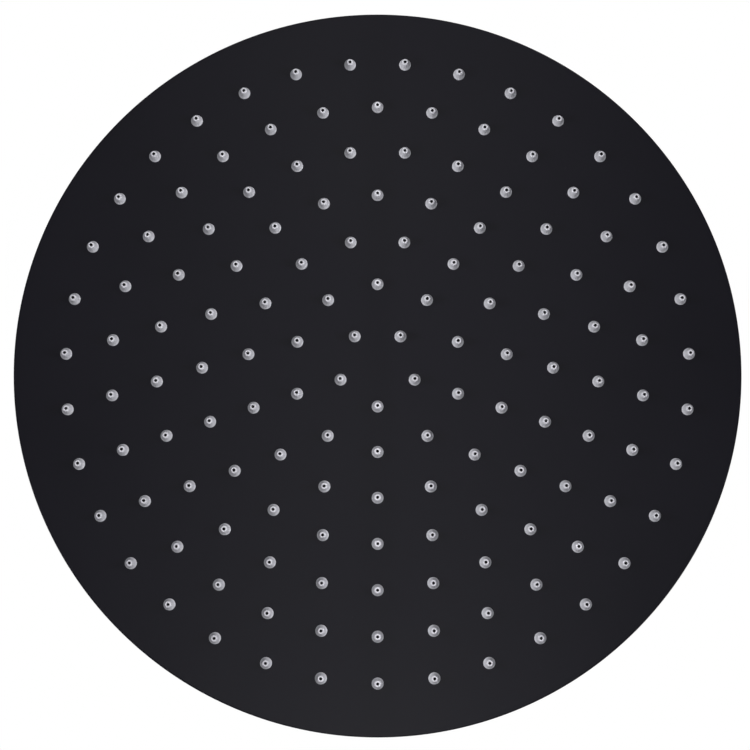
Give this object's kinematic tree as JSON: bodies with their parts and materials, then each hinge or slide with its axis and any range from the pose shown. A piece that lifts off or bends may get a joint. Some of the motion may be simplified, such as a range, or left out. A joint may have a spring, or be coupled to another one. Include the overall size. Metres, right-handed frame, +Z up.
{
  "type": "rain shower head",
  "caption": "Slim round overhead shower head with rings of soft spray nozzles, hung on a ball swivel with a female threaded inlet.",
  "frame": {"origin": "centre of the threaded inlet's mouth, at the top of the socket", "axes": "+Z up along the inlet, out of its mouth; the spray face looks down -Z; each ring of nozzles starts with one on -Y"},
  "size_m": [0.3, 0.3, 0.0555],
  "materials": {
    "coated_steel": "matt black coating on stainless sheet",
    "coated_brass": "matt black coating on turned brass, the ball itself left polished",
    "silicone": "matt grey silicone",
    "plain_steel": "turned, uncoated",
    "seal_rubber": "matt black",
    "liner_plastic": "natural acetal",
    "screen_steel": "etched stainless",
    "limiter_plastic": "moulded"
  },
  "bodies": {
    "inlet": {"swivel_ball": "coated_brass", "inlet_washer": "seal_rubber", "filter_screen": "screen_steel", "flow_limiter": "limiter_plastic", "limiter_ring": "seal_rubber"},
    "liner": {"ball_liner": "liner_plastic"},
    "seal": {"ball_seal": "seal_rubber"},
    "head": {"inlet_boss": "coated_brass", "collar_nut": "coated_brass", "centre_plate": "coated_steel", "back_plate": "coated_steel", "face_plate": "coated_steel", "tie_studs": "plain_steel", "nozzle_ring_1": "silicone", "nozzle_ring_2": "silicone", "nozzle_ring_3": "silicone", "nozzle_ring_4": "silicone", "nozzle_ring_5": "silicone", "nozzle_ring_6": "silicone", "nozzle_ring_7": "silicone"}
  },
  "joints": [
    {"name": "tilt_front", "type": "hinge", "parent": "inlet", "child": "liner", "pos_m": [0, 0, -0.0275], "axis": [1, 0, 0], "range_deg": [-12, 12]},
    {"name": "tilt_side", "type": "hinge", "parent": "liner", "child": "seal", "pos_m": [0, 0, -0.0275], "axis": [0, 1, 0], "range_deg": [-12, 12]},
    {"name": "spin", "type": "hinge", "parent": "seal", "child": "head", "pos_m": [0, 0, -0.0275], "axis": [0, 0, 1], "continuous": true}
  ]
}
